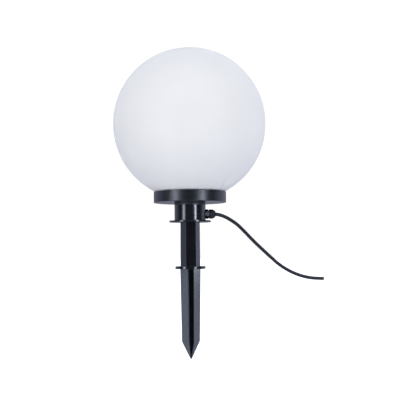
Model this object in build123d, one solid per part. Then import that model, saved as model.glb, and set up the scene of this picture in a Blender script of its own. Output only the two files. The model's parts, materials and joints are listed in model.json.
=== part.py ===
from build123d import *
import os
import math

# Garden globe light on a ground spike. Millimetres, +Z up.
# Origin: centre of the stop disc's underside, which lies on the soil.
# +X points to the side where the supply cord leaves, -Y is the front.

# ---- driving dimensions -------------------------------------------------
GLOBE_R = 150.5          # opal globe, outside radius
GLOBE_WALL = 2.5
GLOBE_CZ = 286.0         # height of the globe's centre above the soil
GLOBE_NECK_R = 62.0      # threaded neck of the globe, outside
GLOBE_NECK_BOT = 137.0
THREAD_LEAD = 16.0       # three-start thread, rise per turn
RIB_R = 64.2             # thread rib crest
RIB_T = 2.0
RIB_CZ = 140.6
LUG_R = 62.6             # inner end of the collar's thread lugs

COLLAR_R = 71.4
COLLAR_Z0 = 130.2
COLLAR_Z1 = 151.6
COLLAR_IN = 68.0
COLLAR_FLOOR = 3.8
CENTRE_HOLE_R = 20.0

NECK_R = 30.75
NECK_WALL = 2.5
NECK_Z1 = 129.2
FLANGE_R = 41.0
FLANGE_Z0 = 91.7
FLANGE_T = 3.3
SOCKET_R = 13.55         # socket for the spike's spigot, running fit
SOCKET_TOP = 101.0
ROOF_T = 3.0

POST_AC_BOT = 39.1       # hexagon across corners, at the disc
POST_AC_TOP = 38.4
POST_TOP = 91.55
SPIKE_TURN = 5.5         # the spike stands turned by this much about Z
DISC_R = 29.85
DISC_T = 5.2
FIN_R = 21.0            # cross-shaped blade: centre to a fin's edge
FIN_EDGE = 0.8           # thickness of a fin at its edge
FIN_ROOT = 1.49          # corner between two fins, x and y
BLADE_TURN = 20.0        # the four fins stand turned by this much about Z
BLADE_LEN = 141.4
BLADE_END_SCALE = 0.885
TIP_LEN = 34.6
SPIGOT_R = 13.5
SPIGOT_TOP = 100.8

GLAND_Z = 108.1
GLAND_TURN = 15.0        # the gland points this far behind +X
CORD_D = 7.0
CORE_D = 2.4
HOLDER_Z = 146.0         # top of the lampholder bridge
BULB_TIP_Z = 158.0

os.makedirs("parts", exist_ok=True)
made = {}


def save(name, shape):
    made[name] = shape
    export_step(shape, "parts/" + name + ".step")


def lathe(pts):
    # closed outline of (radius, height) turned about Z
    wire = Polyline(*[(x, z) for x, z in pts], close=True)
    return revolve(Plane.XZ * make_face(wire), Axis.Z)


def ring(r0, r1, z0, z1):
    return lathe([(r0, z0), (r1, z0), (r1, z1), (r0, z1)])


def disc(r, z0, z1, x=0.0, y=0.0):
    return Pos(x, y, (z0 + z1) / 2) * Cylinder(r, z1 - z0)


def gland_place(shape):
    # lathe or prism made along +Z is laid along the gland's axis
    return Rot(0, 0, GLAND_TURN) * (Pos(0, 0, GLAND_Z) * (Rot(0, 90, 0) * shape))


def polar(r, deg, z=0.0):
    a = math.radians(deg)
    return (r * math.cos(a), r * math.sin(a), z)


def corner_radii(pts, factor=0.45):
    radii = []
    for a, b, c in zip(pts[:-2], pts[1:-1], pts[2:]):
        u = Vector(*b) - Vector(*a)
        v = Vector(*c) - Vector(*b)
        turn = math.radians(u.get_angle(v))
        radii.append(factor * min(u.length, v.length) / math.tan(turn / 2))
    return radii


def tube(pts, dia, label):
    radii = corner_radii(pts)
    path = FilletPolyline(*pts, radius=radii)
    start = Plane(origin=path @ 0, z_dir=path % 0)
    body = sweep(start * Circle(dia / 2), path=path)
    length = path.length
    want = math.pi * dia * dia / 4 * length
    print(label, "radii", [round(r, 1) for r in radii], "length", round(length, 1),
          "volume", round(body.volume, 1), "section x length", round(want, 1))
    return body


# ---- ground spike: one moulding ----------------------------------------
def hexagon(across):
    r = across / 2
    return make_face(Polyline(*[(r * math.cos(math.radians(60 * k)), r * math.sin(math.radians(60 * k)))
                                for k in range(6)], close=True))


def star(k):
    e, w, v = FIN_R * k, FIN_EDGE / 2 * k, FIN_ROOT * k
    pts = [(e, -w), (e, w), (v, v), (w, e), (-w, e), (-v, v),
           (-e, w), (-e, -w), (-v, -v), (-w, -e), (w, -e), (v, -v)]
    return make_face(Polyline(*pts, close=True))


stop = disc(DISC_R, 0, DISC_T)
stop = fillet(stop.edges().filter_by(GeomType.CIRCLE), 0.6)
post = loft([Pos(0, 0, DISC_T - 0.2) * hexagon(POST_AC_BOT), Pos(0, 0, POST_TOP) * hexagon(POST_AC_TOP)], ruled=True)
post = fillet(post.edges().filter_by(lambda e: abs(e.tangent_at(0.5).Z) > 0.9), 0.35)
# the fins keep their taper down to the tip and are cut to a point by a cone
depth = BLADE_LEN + TIP_LEN
end_scale = 1.0 - (1.0 - BLADE_END_SCALE) * depth / BLADE_LEN
blade = loft([Pos(0, 0, 0.2) * star(1.0), Pos(0, 0, -depth) * star(end_scale)], ruled=True)
cut_r = FIN_R * BLADE_END_SCALE
blade = blade & lathe([(0, 1.0), (FIN_R + 2.0, 1.0), (FIN_R + 2.0, -BLADE_LEN), (cut_r, -BLADE_LEN), (0.9, -depth), (0, -depth)])
blade = Rot(0, 0, BLADE_TURN - SPIKE_TURN) * blade
spigot = disc(SPIGOT_R, POST_TOP - 0.5, SPIGOT_TOP)
spike = stop + post
foot = [e for e in spike.edges() if abs(e.center().Z - DISC_T) < 0.01 and e.geom_type == GeomType.LINE]
spike = fillet(foot, 1.2) if len(foot) == 6 else spike
spike = spike + blade + spigot
spike = spike - ring(11.7, SPIGOT_R + 1, 95.6, 98.0)          # O-ring groove
spike = spike - disc(3.05, 72.0, SPIGOT_TOP + 1)              # bolt hole
spike = Rot(0, 0, SPIKE_TURN) * spike
save("ground_spike", spike)

save("spigot_oring", ring(11.75, 13.5, 95.8, 97.8))
roof_top = SOCKET_TOP + ROOF_T
save("spike_washer", ring(3.2, 6.4, roof_top + 0.1, roof_top + 1.3))
bolt_seat = roof_top + 1.3
bolt = disc(3.0, 74.0, bolt_seat + 0.5) + (Pos(0, 0, bolt_seat) * extrude(hexagon(11.5), 4.0))
save("spike_bolt", bolt)

# ---- neck housing -------------------------------------------------------
ri = NECK_R - NECK_WALL
ft = FLANGE_Z0 + FLANGE_T
neck = lathe([(SOCKET_R, FLANGE_Z0), (FLANGE_R, FLANGE_Z0), (FLANGE_R, ft), (NECK_R, ft),
              (NECK_R, NECK_Z1), (ri, NECK_Z1), (ri, ft + 1.0), (16.5, ft + 1.0),
              (16.5, roof_top), (3.3, roof_top), (3.3, SOCKET_TOP), (SOCKET_R, SOCKET_TOP)])
neck = fillet([e for e in neck.edges().filter_by(GeomType.CIRCLE)
               if abs(e.center().Z - ft) < 0.01 and abs(e.radius - NECK_R) < 0.05], 0.9)
neck = fillet([e for e in neck.edges().filter_by(GeomType.CIRCLE)
               if abs(e.radius - FLANGE_R) < 0.05], 0.5)
SCREW_AZ = (45.0, 165.0, 285.0)
SCREW_RAD = 24.6
for az in SCREW_AZ:
    x, y, _ = polar(SCREW_RAD, az + GLAND_TURN)
    boss = disc(3.6, 118.0, NECK_Z1, x, y)
    web = Rot(0, 0, az + GLAND_TURN) * (Pos(27.0, 0, (118.0 + NECK_Z1) / 2) * Box(3.0, 5.0, NECK_Z1 - 118.0))
    neck = neck + boss + web
    neck = neck - disc(1.5, 120.0, NECK_Z1 + 1, x, y)
pad = Pos(0, 0, 28.9) * Cylinder(9.3, 4.6)
neck = neck + gland_place(pad)
neck = neck - gland_place(Pos(0, 0, 29.0) * Cylinder(6.05, 12.0))
save("neck_housing", neck)

gasket = ring(20.6, NECK_R - 0.2, NECK_Z1, COLLAR_Z0)
for az in SCREW_AZ:
    x, y, _ = polar(SCREW_RAD, az + GLAND_TURN)
    gasket = gasket - disc(1.9, NECK_Z1 - 1, COLLAR_Z0 + 1, x, y)
save("neck_gasket", gasket)

# ---- base collar --------------------------------------------------------
z0, z1, fl = COLLAR_Z0, COLLAR_Z1, COLLAR_Z0 + COLLAR_FLOOR
collar = lathe([(CENTRE_HOLE_R, z0), (COLLAR_R, z0), (COLLAR_R, z1), (69.8, z1), (COLLAR_IN, z1 - 1.0),
                (COLLAR_IN, fl), (CENTRE_HOLE_R, fl)])
outer = [e for e in collar.edges().filter_by(GeomType.CIRCLE) if abs(e.radius - COLLAR_R) < 0.05]
collar = fillet([e for e in outer if e.center().Z < z0 + 1], 1.2)
outer = [e for e in collar.edges().filter_by(GeomType.CIRCLE) if abs(e.radius - COLLAR_R) < 0.05]
collar = fillet([e for e in outer if e.center().Z > z1 - 1], 0.6)
for az in SCREW_AZ:
    x, y, _ = polar(SCREW_RAD, az + GLAND_TURN)
    collar = collar - disc(1.9, z0 - 1, fl + 1, x, y)
BRIDGE_Y = 36.0
for sy in (-1, 1):
    collar = collar + disc(5.0, fl - 0.2, 140.0, 0, sy * BRIDGE_Y)
    collar = collar - disc(1.9, z0 + 1.2, 141.0, 0, sy * BRIDGE_Y)
BLOCK_X = -40.0
collar = collar + (Pos(BLOCK_X, 0, fl + 1.4) * Box(10.0, 7.0, 3.2))
collar = collar - disc(1.4, z0 + 1.2, 138.0, BLOCK_X, 0)


def sector(r0, r1, zc, t, span, centre, tilt):
    # part of a ring, tilted so that it climbs with the thread
    s = revolve(Plane.XZ * make_face(Polyline(
        (r0, -t / 2), (r1, -t / 2), (r1, t / 2), (r0, t / 2), close=True)), Axis.Z, span)
    s = Rot(0, 0, -span / 2) * s                # now centred on +X
    s = Rot(tilt, 0, 0) * s                     # climbs with the thread about its radius
    return Rot(0, 0, centre) * (Pos(0, 0, zc) * s)


lead_deg = math.degrees(math.atan(THREAD_LEAD / (2 * math.pi * 63.4)))
for k in range(3):
    collar = collar + sector(LUG_R, COLLAR_IN + 0.6, RIB_CZ + 3.35, RIB_T, 16.0, 15.0 + 120.0 * k, lead_deg)
save("base_collar", collar)

screws = []
for az in SCREW_AZ:
    x, y, _ = polar(SCREW_RAD, az + GLAND_TURN)
    s = disc(1.45, 121.0, fl + 0.3, x, y) + disc(3.0, fl + 0.02, fl + 2.2, x, y)
    s = s - (Pos(x, y, fl + 1.9) * Box(4.2, 0.8, 1.4)) - (Pos(x, y, fl + 1.9) * Box(0.8, 4.2, 1.4))
    screws.append(s)
save("neck_screws", Compound(children=[s.solid() if hasattr(s, "solid") else s for s in screws]))

# ---- cable gland, on its own axis --------------------------------------
def hex_prism(across, a, b):
    # flats face front and back once laid along the gland's axis
    return Pos(0, 0, a) * extrude(hexagon(across), b - a)


PAD_FACE = 31.2
G0 = 31.8
gb = (hex_prism(19.2, G0, 37.1) & (Pos(0, 0, 34.4) * Cylinder(9.4, 7.0)))
gb = gb + (Pos(0, 0, (20.5 + 35.0) / 2) * Cylinder(6.0, 14.5)) + (Pos(0, 0, (35.0 + 48.0) / 2) * Cylinder(6.0, 13.0))
gb = gb - (Pos(0, 0, 42.0) * Cylinder(5.3, 14.0)) - (Pos(0, 0, 30.0) * Cylinder(3.8, 24.0))
save("gland_body", gland_place(gb))
save("gland_gasket", gland_place(ring(6.03, 8.6, PAD_FACE, G0)))
save("gland_locknut", gland_place((hex_prism(17.2, 22.8, 26.55)) - (Pos(0, 0, 24.0) * Cylinder(6.05, 8.0))))
save("gland_seal", gland_place(ring(3.55, 5.0, 38.0, 47.2)))

nut = hex_prism(18.4, 39.0, 47.2) & lathe([(0, 39.0), (8.5, 39.0), (9.2, 39.7), (9.2, 47.2), (0, 47.2)])
dome_pts = [(0, 47.1), (7.9, 47.1)]
for i in range(1, 9):
    a = math.radians(90 * i / 8 * 0.86)
    dome_pts.append((4.2 + 3.7 * math.cos(a), 47.1 + 4.4 * math.sin(a)))
dome_pts.append((0, dome_pts[-1][1]))
nut = nut + lathe(dome_pts)
NUT_END = dome_pts[-1][1]
nut = nut - (Pos(0, 0, (38.0 + 49.0) / 2) * Cylinder(6.3, 11.0)) - (Pos(0, 0, 47.0) * Cylinder(3.9, 20.0))
nut = nut - lathe([(0, 49.2), (3.85, 49.2), (4.6, NUT_END + 0.2), (0, NUT_END + 0.2)])     # flared mouth for the bending cord
save("gland_nut", gland_place(nut))
print("gland nut ends at radius", round(NUT_END, 2))

# ---- supply cord --------------------------------------------------------
ax = lambda r, dz=0.0: polar(r, GLAND_TURN, GLAND_Z + dz)
CORD = [ax(19.0), ax(38.0), ax(54.5), (66.8, 19.6, 104.4), (80.1, 28.0, 97.5), (95.0, 40.6, 88.1), (112.1, 57.1, 72.0),
        (130.0, 73.0, 54.0), (148.2, 85.7, 37.6), (166.5, 94.9, 21.0), (184.5, 102.3, 5.2),
        (203.9, 109.1, -7.1), (223.4, 114.4, -16.0), (242.8, 118.7, -21.8), (262.0, 122.4, -24.7),
        (280.4, 126.0, -25.2)]
CORD[1] = (CORD[1][0], CORD[1][1], CORD[1][2] + 0.02)   # never three points in one line
print("cord", [(round(x, 1), round(y, 1), round(z, 1)) for x, y, z in CORD])
cord = tube(CORD, CORD_D, "supply_cord")
save("supply_cord", cord)

# ---- cores to the terminal block ---------------------------------------
def local(pts):
    out = []
    for x, y, z in pts:
        v = Vector(x, y, z).rotate(Axis.Z, GLAND_TURN)
        out.append((v.X, v.Y, v.Z))
    return out


def wire(pts, name):
    save(name, tube(pts, CORE_D, name))


BLOCK_Z0 = 137.0
for name, sy in (("core_brown", 1), ("core_blue", -1)):
    pts = local([(19.0, 1.5 * sy, GLAND_Z), (10.6, 1.5 * sy, GLAND_Z)]) + \
          [(10.2, 2.7 + 1.5 * sy, 136.4), (-20.0, 1.0 + 2.3 * sy, 136.8), (-33.9, 4.5 * sy, 143.0)]
    wire(pts, name)

for name, sy in (("holder_wire_brown", 1), ("holder_wire_blue", -1)):
    pts = [(-46.1, 4.5 * sy, 143.0), (-54.0, 4.5 * sy, 143.0), (-54.0, 4.7 * sy, 155.0), (-19.0, 4.7 * sy, 157.0)]
    wire(pts, name)

block = Pos(BLOCK_X, 0, BLOCK_Z0 + 6.0) * Box(12.2, 18.0, 12.0)
for sy in (-1, 1):
    block = block - (Pos(BLOCK_X, 4.5 * sy, 143.0) * (Rot(0, 90, 0) * Cylinder(1.6, 20.0)))
    for sx in (-1, 1):
        block = block - disc(1.75, 143.0, 150.0, BLOCK_X + 3.6 * sx, 4.5 * sy)
block = block - disc(1.6, 136.0, 150.0, BLOCK_X, 0)
block = fillet(block.edges().filter_by(Axis.Z).filter_by(lambda e: abs(abs(e.center().Y) - 9.0) < 0.01), 1.2)
save("terminal_block", block)
ts = [disc(1.65, 144.9, 148.0, BLOCK_X + 3.6 * sx, 4.5 * sy)
      - (Pos(BLOCK_X + 3.6 * sx, 4.5 * sy, 148.0) * Box(4.0, 0.6, 1.2)) for sx in (-1, 1) for sy in (-1, 1)]
save("terminal_screws", Compound(children=[t.solid() for t in ts]))
tf = disc(1.35, 133.2, 149.2, BLOCK_X, 0) + disc(2.6, 149.05, 150.6, BLOCK_X, 0)
tf = tf - (Pos(BLOCK_X, 0, 150.5) * Box(6.0, 0.7, 1.0))
save("terminal_fixing_screw", tf)

# ---- lampholder ---------------------------------------------------------
HZ = HOLDER_Z
top = Pos(0, 0, HZ - 0.75) * Box(20.0, 60.0, 1.5)
legs = [Pos(0, sy * 29.25, (140.0 + HZ) / 2) * Box(20.0, 1.5, HZ - 140.0) for sy in (-1, 1)]
feet = [Pos(0, sy * 35.6, 140.75) * Box(14.0, 14.2, 1.5) for sy in (-1, 1)]
bridge = top + legs[0] + legs[1] + feet[0] + feet[1]
bridge = bridge - disc(5.1, 144.0, 147.0)
for sy in (-1, 1):
    bridge = bridge - disc(2.1, 139.0, 143.0, 0, sy * BRIDGE_Y)
save("lampholder_bridge", bridge)
bs = []
for sy in (-1, 1):
    b = disc(1.8, 133.0, 141.6, 0, sy * BRIDGE_Y) + disc(3.6, 141.5, 143.6, 0, sy * BRIDGE_Y)
    b = b - (Pos(0, sy * BRIDGE_Y, 143.4) * Box(4.6, 0.9, 1.4)) - (Pos(0, sy * BRIDGE_Y, 143.4) * Box(0.9, 4.6, 1.4))
    bs.append(b.solid())
save("bridge_screws", Compound(children=bs))

# insulating body: stem through the bridge, floor, round wall with wire holes
HOLD_TOP = 193.0
body = lathe([(2.4, 139.0), (5.0, 139.0), (5.0, HZ), (18.6, HZ), (19.0, HZ + 0.6), (19.0, 160.0), (19.0, 188.0), (20.2, 189.0),
              (20.2, HOLD_TOP - 0.6), (19.6, HOLD_TOP), (14.6, HOLD_TOP), (14.6, 191.0), (14.05, 190.6),
              (14.05, 155.0), (2.4, 155.0)])
for sy in (-1, 1):
    body = body - (Pos(-16.5, 4.7 * sy, 157.1) * (Rot(0, 90, 0) * Cylinder(1.3, 6.0)))
save("lampholder_body", body)
save("lampholder_nut", (Pos(0, 0, 141.3) * extrude(hexagon(16.0), 3.2)) - disc(5.05, 140.0, 146.0))
save("lampholder_shell", ring(13.5, 14.0, 162.0, 185.5))

# sprung centre contact: a brass strip bent up from its foot to a round pad
pad_ = Pos(0, 0, 157.45) * Cylinder(2.6, 0.8)
arm = Pos(4.9, 0, 156.45) * (Rot(0, 14, 0) * Box(6.6, 4.6, 0.6))
foot = Pos(9.3, 0, 155.55) * Box(4.6, 4.6, 0.7)
save("centre_contact", pad_ + arm + foot)

# ---- LED bulb with an E27 cap ------------------------------------------
t = BULB_TIP_Z
save("bulb_contact_tip", lathe([(0, t), (2.6, t), (4.4, t + 0.7), (4.4, t + 1.4), (0, t + 1.4)]))
save("bulb_cap_insulator", lathe([(0, t + 1.4), (4.8, t + 1.4), (9.6, t + 5.2), (9.6, t + 6.0), (0, t + 6.0)]))
cap = [(9.6, t + 5.2), (11.6, t + 6.6)]
z = t + 7.2
pitch = 3.63
for k in range(5):
    cap += [(12.3, z), (13.05, z + pitch * 0.3), (13.1, z + pitch * 0.5), (13.05, z + pitch * 0.7)]
    z += pitch
cap += [(12.3, z), (13.0, z + 0.8), (13.1, z + 3.0), (12.5, z + 3.0), (12.2, z + 0.8), (11.6, z - 0.6),
        (11.6, t + 7.6), (9.6, t + 6.0)]
CAP_TOP = z + 3.0
save("bulb_cap", lathe(cap))
print("bulb cap top", round(CAP_TOP, 2))
hb = CAP_TOP
housing = lathe([(12.5, hb), (13.4, hb), (13.6, hb + 7.0), (16.0, hb + 12.0), (22.5, hb + 22.0), (27.4, hb + 30.0), (29.3, hb + 36.0),
                 (29.3, hb + 38.0), (27.4, hb + 38.0), (27.4, hb + 36.2), (25.6, hb + 31.0), (20.8, hb + 23.0), (14.2, hb + 12.5),
                 (12.1, hb + 7.2), (12.1, hb + 0.4)])
save("bulb_housing", housing)
lb = hb + 36.2
board = ring(1.6, 27.3, lb, lb + 1.2)
for k in range(8):
    x, y, _ = polar(17.0, 45.0 * k)
    board = board + (Pos(x, y, lb + 1.55) * (Rot(0, 0, 45.0 * k) * Box(3.0, 3.0, 0.9)))
save("bulb_led_board", board)
drv = Pos(0, 0, hb + 10.0) * Box(19.0, 1.6, 30.0)
drv = drv + (Pos(0, -3.2, hb + 12.0) * Box(9.0, 5.0, 10.0)) + (Pos(2.0, 3.6, hb + 4.0) * Cylinder(2.9, 9.0))
save("bulb_driver_board", drv)
db = hb + 38.0
dome_r = 29.6
bulb_face = make_face([
    Line((dome_r - 1.4, db), (dome_r, db)),
    ThreePointArc((dome_r, db), (dome_r * math.cos(math.pi / 4), db + dome_r * math.sin(math.pi / 4)), (0, db + dome_r)),
    Line((0, db + dome_r), (0, db + dome_r - 1.4)),
    ThreePointArc((0, db + dome_r - 1.4), ((dome_r - 1.4) * math.cos(math.pi / 4), db + (dome_r - 1.4) * math.sin(math.pi / 4)), (dome_r - 1.4, db)),
])
save("bulb_dome", revolve(Plane.XZ * bulb_face, Axis.Z))
print("bulb top", round(db + dome_r, 1))

# ---- globe and its seal -------------------------------------------------
R, ri_, nr, nb, cz = GLOBE_R, GLOBE_R - GLOBE_WALL, GLOBE_NECK_R, GLOBE_NECK_BOT, GLOBE_CZ
ni = nr - GLOBE_WALL
zo = cz - math.sqrt(R * R - nr * nr)
zi = cz - math.sqrt(ri_ * ri_ - ni * ni)
face = make_face([
    ThreePointArc((0, cz + R), (R, cz), (nr, zo)),
    Line((nr, zo), (nr, nb)),
    Line((nr, nb), (ni, nb)),
    Line((ni, nb), (ni, zi)),
    ThreePointArc((ni, zi), (ri_, cz), (0, cz + ri_)),
    Line((0, cz + ri_), (0, cz + R)),
])
globe = revolve(Plane.XZ * face, Axis.Z)
for k in range(3):
    globe = globe + sector(nr - 0.6, RIB_R, RIB_CZ, RIB_T, 60.0, 120.0 * k, lead_deg)
save("globe_diffuser", globe)
save("globe_seal", ring(58.5, 66.5, fl + 0.05, nb - 0.05))

print(len(made), "nodes")
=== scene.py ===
import json
import math
import bpy
import bmesh
from mathutils import Matrix, Vector


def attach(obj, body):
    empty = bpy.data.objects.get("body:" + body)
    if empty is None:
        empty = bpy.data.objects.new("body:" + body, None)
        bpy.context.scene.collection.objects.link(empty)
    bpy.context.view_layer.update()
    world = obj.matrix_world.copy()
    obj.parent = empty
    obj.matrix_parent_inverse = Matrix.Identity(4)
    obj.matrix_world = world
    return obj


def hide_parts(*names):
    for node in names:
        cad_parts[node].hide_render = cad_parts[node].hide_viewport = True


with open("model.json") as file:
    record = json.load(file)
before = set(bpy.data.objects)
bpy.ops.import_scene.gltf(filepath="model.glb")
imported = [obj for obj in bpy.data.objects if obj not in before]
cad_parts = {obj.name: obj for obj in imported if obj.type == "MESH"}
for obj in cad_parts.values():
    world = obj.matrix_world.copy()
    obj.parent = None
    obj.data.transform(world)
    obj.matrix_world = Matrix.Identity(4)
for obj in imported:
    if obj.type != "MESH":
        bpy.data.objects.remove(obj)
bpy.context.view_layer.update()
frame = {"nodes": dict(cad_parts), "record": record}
nodes = frame["nodes"]
scene = bpy.context.scene

# ---------------------------------------------------------------- camera
CAM_D, CAM_X, CAM_Z = 1.600, 0.01963, 0.03500
CAM_PITCH, CAM_ROLL = 0.04800, -0.0081
cam_data = bpy.data.cameras.new("camera")
cam = bpy.data.objects.new("camera", cam_data)
scene.collection.objects.link(cam)
cam_data.sensor_width = 36.0
cam_data.lens = 73.036
cam_data.shift_y = 0.03
cam_data.clip_start, cam_data.clip_end = 0.05, 60.0
cam.matrix_world = (Matrix.Translation((CAM_X, -CAM_D, CAM_Z))
                    @ Matrix.Rotation(math.pi / 2 + CAM_PITCH, 4, "X")
                    @ Matrix.Rotation(CAM_ROLL, 4, "Z"))
scene.camera = cam

# ---------------------------------------------------------------- light
scene.view_settings.view_transform = "Standard"
scene.view_settings.look = "None"
scene.view_settings.exposure = 0.0
scene.view_settings.gamma = 1.0
TINT = (0.915, 0.945, 1.0)
KEY_TINT = (0.975, 0.980, 1.0)
BACKDROP_TINT = (0.74, 0.79, 1.0)

world = bpy.data.worlds.new("studio")
scene.world = world
world.use_nodes = True
wn, wl = world.node_tree.nodes, world.node_tree.links
wn.clear()


def wnode(kind, **props):
    n = wn.new(kind)
    for k, v in props.items():
        setattr(n, k, v)
    return n


def wmap(value, a, b, c, d):
    n = wnode("ShaderNodeMapRange", interpolation_type="SMOOTHSTEP")
    wl.new(value, n.inputs["Value"])
    for key, v in zip(("From Min", "From Max", "To Min", "To Max"), (a, b, c, d)):
        n.inputs[key].default_value = v
    return n.outputs["Result"]


def wmath(op, a, b):
    n = wnode("ShaderNodeMath", operation=op)
    for i, v in enumerate((a, b)):
        if isinstance(v, (int, float)):
            n.inputs[i].default_value = v
        else:
            wl.new(v, n.inputs[i])
    return n.outputs[0]


way = wnode("ShaderNodeTexCoord")
xyz = wnode("ShaderNodeSeparateXYZ")
wl.new(way.outputs["Generated"], xyz.inputs[0])
side = wmap(xyz.outputs["X"], -0.8, 0.8, 0.62, 0.90)          # the right side of the backdrop is brighter
back = wmath("MULTIPLY", wmap(xyz.outputs["Y"], -0.12, 0.22, 0.0, 1.0), side)
straight = wmap(xyz.outputs["Y"], 0.80, 0.97, 1.0, 0.42)      # a darker patch straight behind the object
back = wmath("MULTIPLY", back, straight)
below = wmap(xyz.outputs["Z"], -0.62, -0.30, 0.72, 0.0)
above = wmap(xyz.outputs["Z"], 0.18, 0.80, 0.0, 1.15)
front = wmap(xyz.outputs["Z"], -0.07, 0.0, 0.010, 0.090)
glow = wmath("MAXIMUM", wmath("MAXIMUM", back, below), wmath("MAXIMUM", above, front))
path = wnode("ShaderNodeLightPath")
bg_light = wnode("ShaderNodeBackground")
hue = wnode("ShaderNodeMix", data_type="RGBA")          # the backdrop is bluer than the lights
hue.inputs[6].default_value = (*TINT, 1.0)
hue.inputs[7].default_value = (*BACKDROP_TINT, 1.0)
bluer = wmath("MAXIMUM", wmap(xyz.outputs["Y"], -0.2, 0.3, 0.0, 1.0), wmap(xyz.outputs["Z"], -0.45, -0.10, 1.0, 0.0))
wl.new(wmath("MULTIPLY", bluer, wmath("ADD", wmath("MULTIPLY", path.outputs["Is Glossy Ray"], 0.45), 0.55)), hue.inputs[0])
wl.new(hue.outputs[2], bg_light.inputs["Color"])
wl.new(glow, bg_light.inputs["Strength"])
bg_seen = wnode("ShaderNodeBackground")
bg_seen.inputs["Color"].default_value = (1.0, 1.0, 1.0, 1.0)
bg_seen.inputs["Strength"].default_value = 1.05
mix = wnode("ShaderNodeMixShader")
wl.new(path.outputs["Is Camera Ray"], mix.inputs[0])
wl.new(bg_light.outputs[0], mix.inputs[1])
wl.new(bg_seen.outputs[0], mix.inputs[2])
out = wnode("ShaderNodeOutputWorld")
wl.new(mix.outputs[0], out.inputs["Surface"])


def softbox(name, azimuth, distance, z, width, height, radiance, aim=None, tint=KEY_TINT):
    """A tall soft light. Azimuth is measured from the front, positive to the right."""
    a = math.radians(azimuth)
    data = bpy.data.lights.new(name, "AREA")
    data.shape = "RECTANGLE"
    data.size, data.size_y = width, height
    data.energy = radiance * math.pi * width * height
    data.color = tint
    ob = bpy.data.objects.new(name, data)
    scene.collection.objects.link(ob)
    pos = Vector((distance * math.sin(a), -distance * math.cos(a), z))
    look = Vector((0.0, 0.0, z if aim is None else aim)) - pos
    ob.matrix_world = Matrix.Translation(pos) @ look.to_track_quat("-Z", "Y").to_matrix().to_4x4()
    ob.visible_camera = False
    return ob


softbox("softbox_right", 40.5, 1.5, 0.11, 0.32, 0.30, 12.6)
softbox("softbox_right_wide", 38.0, 1.6, 0.64, 0.80, 0.84, 2.2)
softbox("softbox_right_low", 40.0, 1.5, -0.48, 0.86, 0.84, 2.3, tint=(0.88, 0.91, 1.0))
softbox("softbox_left", -46.0, 1.5, 0.24, 0.42, 1.60, 5.2)
softbox("softbox_left_wide", -46.5, 1.6, 0.24, 0.86, 1.60, 0.8)
softbox("softbox_overhead", 10.0, 1.35, 1.55, 1.30, 0.80, 1.30, aim=0.30)
for fill in (softbox("fill_low_front", -10.0, 1.55, -0.75, 1.20, 1.20, 2.10, aim=0.28),
             softbox("fill_right", 74.0, 1.80, 0.65, 1.20, 1.20, 0.70, aim=0.28),
             softbox("fill_front", 20.0, 1.80, 0.60, 0.50, 0.50, 4.1, aim=0.28)):
    fill.visible_glossy = False

# ---------------------------------------------------------------- materials


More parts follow.
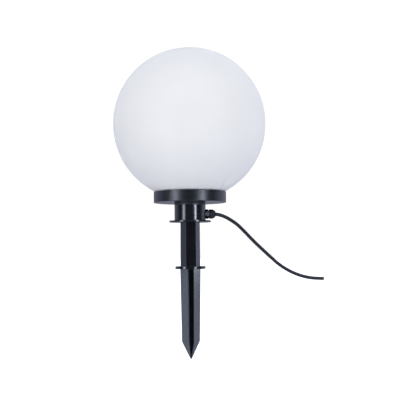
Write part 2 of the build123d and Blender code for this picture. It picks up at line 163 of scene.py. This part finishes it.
class Mat:
    """A procedural material: one Principled shader, object coordinates in metres."""

    def __init__(self, name, rough=0.5, metallic=0.0, ior=1.5, specular=0.5, coat=0.0, coat_rough=0.1, sheen=0.0,
                 gloss_tint=(1.0, 1.0, 1.0)):
        self.m = bpy.data.materials.new(name)
        self.m.use_nodes = True
        self.n, self.l = self.m.node_tree.nodes, self.m.node_tree.links
        self.p = self.n["Principled BSDF"]
        self.set("Roughness", rough)
        self.set("Metallic", metallic)
        self.set("IOR", ior)
        self.set("Specular IOR Level", specular)
        self.set("Coat Weight", coat)
        self.set("Coat Roughness", coat_rough)
        self.set("Sheen Weight", sheen)
        self.set("Specular Tint", (*gloss_tint, 1.0))
        self.co = self.n.new("ShaderNodeTexCoord").outputs["Object"]
        self.normal = None

    def set(self, key, value):
        self.p.inputs[key].default_value = value

    def scaled(self, sx, sy, sz):
        n = self.n.new("ShaderNodeMapping")
        n.inputs["Scale"].default_value = (sx, sy, sz)
        self.l.new(self.co, n.inputs["Vector"])
        return n.outputs[0]

    def noise(self, scale, detail=2.0, rough=0.5, distortion=0.0, at=None):
        n = self.n.new("ShaderNodeTexNoise")
        n.inputs["Scale"].default_value = scale
        n.inputs["Detail"].default_value = detail
        n.inputs["Roughness"].default_value = rough
        n.inputs["Distortion"].default_value = distortion
        self.l.new(at or self.co, n.inputs["Vector"])
        return n.outputs["Fac"]

    def voronoi(self, scale, feature="F1", at=None):
        n = self.n.new("ShaderNodeTexVoronoi")
        n.feature = feature
        n.inputs["Scale"].default_value = scale
        self.l.new(at or self.co, n.inputs["Vector"])
        return n.outputs["Distance"]

    def wave(self, scale, direction="Z", distortion=0.0, detail=1.0, at=None):
        n = self.n.new("ShaderNodeTexWave")
        n.bands_direction = direction
        n.inputs["Scale"].default_value = scale
        n.inputs["Distortion"].default_value = distortion
        n.inputs["Detail"].default_value = detail
        self.l.new(at or self.co, n.inputs["Vector"])
        return n.outputs["Fac"]

    def remap(self, value, a, b, c, d):
        n = self.n.new("ShaderNodeMapRange")
        n.interpolation_type = "SMOOTHSTEP"
        self.l.new(value, n.inputs["Value"])
        for key, v in zip(("From Min", "From Max", "To Min", "To Max"), (a, b, c, d)):
            n.inputs[key].default_value = v
        return n.outputs["Result"]

    def math(self, op, a, b):
        n = self.n.new("ShaderNodeMath")
        n.operation = op
        for i, v in enumerate((a, b)):
            if isinstance(v, (int, float)):
                n.inputs[i].default_value = v
            else:
                self.l.new(v, n.inputs[i])
        return n.outputs[0]

    def mix(self, fac, a, b):
        n = self.n.new("ShaderNodeMix")
        n.data_type = "RGBA"
        self.l.new(fac, n.inputs[0])
        for i, c in ((6, a), (7, b)):
            if isinstance(c, tuple):
                n.inputs[i].default_value = (*c, 1.0)
            else:
                self.l.new(c, n.inputs[i])
        return n.outputs[2]

    def colour(self, value):
        self.l.new(value, self.p.inputs["Base Color"])

    def roughness(self, value):
        self.l.new(value, self.p.inputs["Roughness"])

    def bump(self, height, distance, strength=1.0):
        n = self.n.new("ShaderNodeBump")
        n.inputs["Strength"].default_value = strength
        n.inputs["Distance"].default_value = distance
        self.l.new(height, n.inputs["Height"])
        if self.normal is not None:
            self.l.new(self.normal, n.inputs["Normal"])
        self.normal = n.outputs[0]
        self.l.new(self.normal, self.p.inputs["Normal"])

    def height(self):
        n = self.n.new("ShaderNodeSeparateXYZ")
        self.l.new(self.co, n.inputs[0])
        return n.outputs["Z"]


M = {}
BLUE_BLACK = (0.78, 0.845, 1.0)          # the black plastic's gloss is slightly blue


def moulded(name, dark, light, rough, spread, peel, grain, ior=1.5, specular=0.5, under=None, over=None):
    """Moulded black plastic: cloudy tone, uneven gloss, faint sink and orange peel, a little dust."""
    m = Mat(name, rough=rough, ior=ior, specular=specular, gloss_tint=BLUE_BLACK)
    cloud = m.noise(38.0, 3.0, 0.55)
    fine = m.noise(900.0, 2.0, 0.6)
    dust = m.remap(m.noise(2600.0, 1.0, 0.5), 0.74, 0.80, 0.0, 0.55)
    tone = m.mix(m.remap(cloud, 0.35, 0.65, 0.0, 1.0), dark, light)
    m.colour(m.mix(dust, tone, tuple(min(1.0, 5.0 * c + 0.01) for c in light)))
    r = m.math("ADD", m.remap(cloud, 0.3, 0.7, rough - spread, rough + spread), m.remap(fine, 0.3, 0.7, -0.25 * spread, 0.25 * spread))
    if under:                                 # the underside keeps the gloss of the mould's polished floor
        level, gloss = under
        low = m.remap(m.height(), level - 0.0003, level + 0.0003, 1.0, 0.0)
        r = m.math("ADD", m.math("MULTIPLY", r, m.math("SUBTRACT", 1.0, low)), m.math("MULTIPLY", low, gloss))
    if over:                                  # a matt band where the neck goes up to the collar
        level, matt = over
        top = m.remap(m.height(), level - 0.0006, level + 0.0006, 0.0, 1.0)
        r = m.math("ADD", m.math("MULTIPLY", r, m.math("SUBTRACT", 1.0, top)), m.math("MULTIPLY", top, matt))
    m.roughness(m.math("ADD", r, m.math("MULTIPLY", dust, 0.2)))
    m.bump(m.noise(70.0, 2.0, 0.5), peel)
    if grain:
        m.bump(fine, grain)
    M[name] = m.m
    return m


moulded("neck_plastic", (0.0052, 0.0057, 0.0078), (0.0076, 0.0082, 0.0108), 0.140, 0.018, 0.00002, 0.0, ior=1.64, over=(0.1252, 0.50))
moulded("spike_plastic", (0.0022, 0.0025, 0.0038), (0.0034, 0.0037, 0.0054), 0.160, 0.022, 0.00003, 0.0, ior=1.64)
moulded("collar_plastic", (0.0048, 0.0053, 0.0075), (0.0072, 0.0078, 0.0105), 0.320, 0.025, 0.00002, 0.000004, ior=1.60, under=(0.1306, 0.14))
moulded("gland_nylon", (0.0030, 0.0034, 0.0052), (0.0048, 0.0053, 0.0078), 0.300, 0.030, 0.00003, 0.000006, ior=1.50, specular=0.40)
moulded("gland_nut_nylon", (0.0030, 0.0034, 0.0052), (0.0048, 0.0053, 0.0078), 0.440, 0.030, 0.00003, 0.000006, ior=1.50, specular=0.20)

# opal globe: satin blow-moulded wall that lets light through
g = Mat("opal_globe", rough=0.52, ior=1.5, specular=0.18)
cloud = g.noise(9.0, 3.0, 0.5)
streak = g.noise(30.0, 2.0, 0.5, at=g.scaled(1.0, 1.0, 0.18))
# a faint dark line low on the right of the front: the colour is darker along it and a shallow dent is bumped in
P1, P2 = Vector((0.0708, -0.0809, -0.1035)), Vector((0.0622, -0.0515, -0.1261))
axis_n = P1.cross(P2).normalized()
dot = g.n.new("ShaderNodeVectorMath")
dot.operation = "DOT_PRODUCT"
off = g.n.new("ShaderNodeVectorMath")
off.operation = "SUBTRACT"
off.inputs[1].default_value = (0.0, 0.0, 0.286)
g.l.new(g.co, off.inputs[0])
g.l.new(off.outputs[0], dot.inputs[0])
dot.inputs[1].default_value = axis_n
near = g.remap(g.math("ABSOLUTE", dot.outputs["Value"], 0.0), 0.0, 0.0020, 1.0, 0.0)
level = g.n.new("ShaderNodeSeparateXYZ")
g.l.new(off.outputs[0], level.inputs[0])
span = g.math("MULTIPLY", g.remap(level.outputs["Z"], -0.125, -0.107, 1.0, 0.0), g.remap(level.outputs["X"], 0.0, 0.03, 0.0, 1.0))
span = g.math("MULTIPLY", span, g.remap(level.outputs["Y"], -0.03, -0.01, 1.0, 0.0))
faint_line = g.math("MULTIPLY", near, span)
tone = g.mix(g.remap(cloud, 0.3, 0.7, 0.0, 1.0), (0.750, 0.755, 0.770), (0.775, 0.779, 0.792))
g.colour(g.mix(g.math("MULTIPLY", faint_line, 0.75), tone, (0.52, 0.545, 0.62)))
g.roughness(g.remap(streak, 0.3, 0.7, 0.49, 0.56))
g.bump(g.noise(55.0, 2.0, 0.5), 0.00004)
g.bump(g.math("MULTIPLY", faint_line, -1.0), 0.00016)
g.bump(g.noise(1400.0, 1.0, 0.5), 0.000004)
g.set("Subsurface Weight", 1.0)
g.p.inputs["Subsurface Radius"].default_value = (1.0, 1.0, 1.0)
g.set("Subsurface Scale", 0.012)
M["opal_globe"] = g.m

# rubber: cord sheath and seals
for name, dark, light, rough in (("cord_rubber", (0.0105, 0.0116, 0.0165), (0.0155, 0.0168, 0.0228), 0.50),
                                 ("seal_rubber", (0.0160, 0.0160, 0.0160), (0.0240, 0.0240, 0.0240), 0.62)):
    m = Mat(name, rough=rough, ior=1.42, specular=0.35, gloss_tint=BLUE_BLACK)
    fine = m.noise(1500.0, 3.0, 0.6)
    m.colour(m.mix(m.remap(m.noise(120.0, 2.0, 0.5), 0.35, 0.65, 0.0, 1.0), dark, light))
    m.roughness(m.remap(fine, 0.25, 0.75, rough - 0.07, rough + 0.07))
    m.bump(fine, 0.00001)
    M[name] = m.m

# metals
for name, a, b, rough, stretch in (("zinc_steel", (0.60, 0.60, 0.58), (0.74, 0.74, 0.72), 0.34, 1.0),
                                   ("bridge_steel", (0.52, 0.53, 0.53), (0.66, 0.67, 0.66), 0.38, 0.06),
                                   ("brass", (0.62, 0.44, 0.17), (0.80, 0.60, 0.27), 0.28, 1.0),
                                   ("nickel_cap", (0.60, 0.59, 0.56), (0.76, 0.75, 0.72), 0.22, 1.0)):
    m = Mat(name, rough=rough, metallic=1.0)
    at = m.scaled(1.0, stretch, 1.0)
    scratch = m.noise(700.0, 3.0, 0.65, at=at)
    cloud = m.noise(90.0, 3.0, 0.6)
    m.colour(m.mix(m.remap(cloud, 0.3, 0.7, 0.0, 1.0), a, b))
    m.roughness(m.remap(scratch, 0.25, 0.75, rough - 0.08, rough + 0.10))
    m.bump(scratch, 0.00001)
    M[name] = m.m

# other plastics, insulation and boards
for name, a, b, rough in (("wire_brown", (0.120, 0.045, 0.020), (0.165, 0.066, 0.032), 0.42),
                          ("wire_blue", (0.020, 0.085, 0.330), (0.035, 0.120, 0.420), 0.42),
                          ("terminal_plastic", (0.66, 0.655, 0.60), (0.76, 0.755, 0.71), 0.40),
                          ("holder_plastic", (0.014, 0.014, 0.015), (0.022, 0.022, 0.024), 0.34),
                          ("bulb_white", (0.74, 0.74, 0.72), (0.82, 0.82, 0.80), 0.32),
                          ("led_board", (0.78, 0.78, 0.76), (0.86, 0.86, 0.84), 0.45)):
    m = Mat(name, rough=rough)
    m.colour(m.mix(m.remap(m.noise(160.0, 3.0, 0.55), 0.3, 0.7, 0.0, 1.0), a, b))
    m.roughness(m.remap(m.noise(600.0, 2.0, 0.6), 0.3, 0.7, rough - 0.05, rough + 0.05))
    m.bump(m.noise(1100.0, 2.0, 0.5), 0.000008)
    M[name] = m.m

m = Mat("bulb_opal", rough=0.42, specular=0.4)
m.colour(m.mix(m.remap(m.noise(40.0, 3.0, 0.5), 0.3, 0.7, 0.0, 1.0), (0.80, 0.80, 0.785), (0.86, 0.86, 0.85)))
m.roughness(m.remap(m.noise(300.0, 2.0, 0.5), 0.3, 0.7, 0.38, 0.46))
m.set("Subsurface Weight", 0.6)
m.set("Subsurface Scale", 0.004)
m.bump(m.noise(500.0, 2.0, 0.5), 0.000006)
M["bulb_opal"] = m.m

m = Mat("driver_board", rough=0.38)
tracks = m.remap(m.voronoi(420.0), 0.16, 0.20, 1.0, 0.0)
mask = m.mix(m.remap(m.noise(240.0, 2.0, 0.5), 0.35, 0.65, 0.0, 1.0), (0.014, 0.105, 0.040), (0.022, 0.145, 0.058))
m.colour(m.mix(tracks, mask, (0.55, 0.42, 0.20)))
m.roughness(m.remap(m.noise(500.0, 2.0, 0.5), 0.3, 0.7, 0.32, 0.44))
m.bump(tracks, 0.00003)
M["driver_board"] = m.m

for part in frame["record"]["subparts"]:
    ob = nodes[part["node"]]
    ob.data.materials.clear()
    ob.data.materials.append(M["gland_nut_nylon" if part["node"] == "gland_nut" else part["material_slot"]])

# ---------------------------------------------------------------- supply cord
CORD_D = 0.0070
C15, S15 = math.cos(math.radians(15.0)), math.sin(math.radians(15.0))
CORD = [(0.0190 * C15, 0.0190 * S15, 0.1081), (0.0380 * C15, 0.0380 * S15, 0.10812), (0.0545 * C15, 0.0545 * S15, 0.1081),
        (0.0668, 0.0196, 0.1044), (0.0801, 0.0280, 0.0975), (0.0950, 0.0406, 0.0881), (0.1121, 0.0571, 0.0720),
        (0.1300, 0.0730, 0.0540), (0.1482, 0.0857, 0.0376), (0.1665, 0.0949, 0.0210), (0.1845, 0.1023, 0.0052),
        (0.2039, 0.1091, -0.0071), (0.2234, 0.1144, -0.0160), (0.2428, 0.1187, -0.0218), (0.2620, 0.1224, -0.0247),
        (0.2804, 0.1260, -0.0252)]
curve = bpy.data.curves.new("supply_cord_sheath", "CURVE")
curve.dimensions = "3D"
curve.resolution_u = 12
curve.bevel_depth = CORD_D / 2
curve.bevel_resolution = 10
curve.use_fill_caps = True
spline = curve.splines.new("NURBS")
spline.points.add(len(CORD) - 1)
for point, co in zip(spline.points, CORD):
    point.co = (*co, 1.0)
spline.order_u = 3
spline.use_endpoint_u = True
curve.materials.append(M["cord_rubber"])
cord = bpy.data.objects.new("supply_cord_sheath", curve)
scene.collection.objects.link(cord)
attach(cord, "head")
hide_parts("supply_cord")

# the cord's cut end: two insulated cores with their copper, flush with the sheath
end = Vector(CORD[-1])
along = (end - Vector(CORD[-2])).normalized()
turn = along.to_track_quat("Z", "Y").to_matrix().to_4x4()


def disc_piece(name, centre, radius, proud, material, rings=3, segments=28):
    """A shallow domed disc, a core's cut face."""
    bm = bmesh.new()
    centre_vert = bm.verts.new((0, 0, proud))
    last = None
    for i in range(1, rings + 1):
        f = i / rings
        ring = [bm.verts.new((radius * f * math.cos(2 * math.pi * k / segments),
                              radius * f * math.sin(2 * math.pi * k / segments),
                              proud * (1.0 - f ** 4))) for k in range(segments)]
        for k in range(segments):
            if last is None:
                bm.faces.new((centre_vert, ring[k], ring[(k + 1) % segments]))
            else:
                bm.faces.new((last[k], ring[k], ring[(k + 1) % segments], last[(k + 1) % segments]))
        last = ring
    low = [bm.verts.new((v.co.x, v.co.y, -0.0004)) for v in last]
    for k in range(segments):
        bm.faces.new((last[k], low[k], low[(k + 1) % segments], last[(k + 1) % segments]))
    bm.faces.new(list(reversed(low)))
    bmesh.ops.recalc_face_normals(bm, faces=bm.faces)
    mesh = bpy.data.meshes.new(name)
    bm.to_mesh(mesh)
    bm.free()
    for p in mesh.polygons:
        p.use_smooth = True
    mesh.materials.append(material)
    ob = bpy.data.objects.new(name, mesh)
    ob.matrix_world = Matrix.Translation(end) @ turn @ Matrix.Translation(centre)
    scene.collection.objects.link(ob)
    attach(ob, "head")
    return ob


copper = Mat("copper_strands", rough=0.3, metallic=1.0)
strands = copper.remap(copper.voronoi(5200.0), 0.2, 0.6, 1.0, 0.0)
copper.colour(copper.mix(strands, (0.35, 0.14, 0.06), (0.86, 0.45, 0.26)))
copper.roughness(copper.remap(strands, 0.0, 1.0, 0.5, 0.25))
copper.bump(strands, 0.00006)
for tag, sy, key in (("brown", 1, "wire_brown"), ("blue", -1, "wire_blue")):
    disc_piece("cord_end_core_" + tag, Vector((0, 0.00135 * sy, 0)), 0.00122, 0.00006, M[key])
    disc_piece("cord_end_copper_" + tag, Vector((0, 0.00135 * sy, 0)), 0.00064, 0.00014, copper.m)

# ---------------------------------------------------------------- floor
floor_mesh = bpy.data.meshes.new("studio_floor")
FZ, FS = -0.1768, 20.0
floor_mesh.from_pydata([(-FS, -FS, FZ), (FS, -FS, FZ), (FS, FS, FZ), (-FS, FS, FZ)], [], [(0, 1, 2, 3)])
floor = bpy.data.objects.new("studio_floor", floor_mesh)
scene.collection.objects.link(floor)
pale = bpy.data.materials.new("pale_floor")
pale.use_nodes = True
pp = pale.node_tree.nodes["Principled BSDF"]
pp.inputs["Base Color"].default_value = (0.86, 0.86, 0.86, 1.0)
pp.inputs["Roughness"].default_value = 0.9
pp.inputs["Specular IOR Level"].default_value = 0.0
pp.inputs["Emission Color"].default_value = (1.0, 1.0, 1.0, 1.0)
pp.inputs["Emission Strength"].default_value = 0.72
floor_mesh.materials.append(pale)
floor.visible_glossy = False
floor.visible_diffuse = False
floor.visible_shadow = False
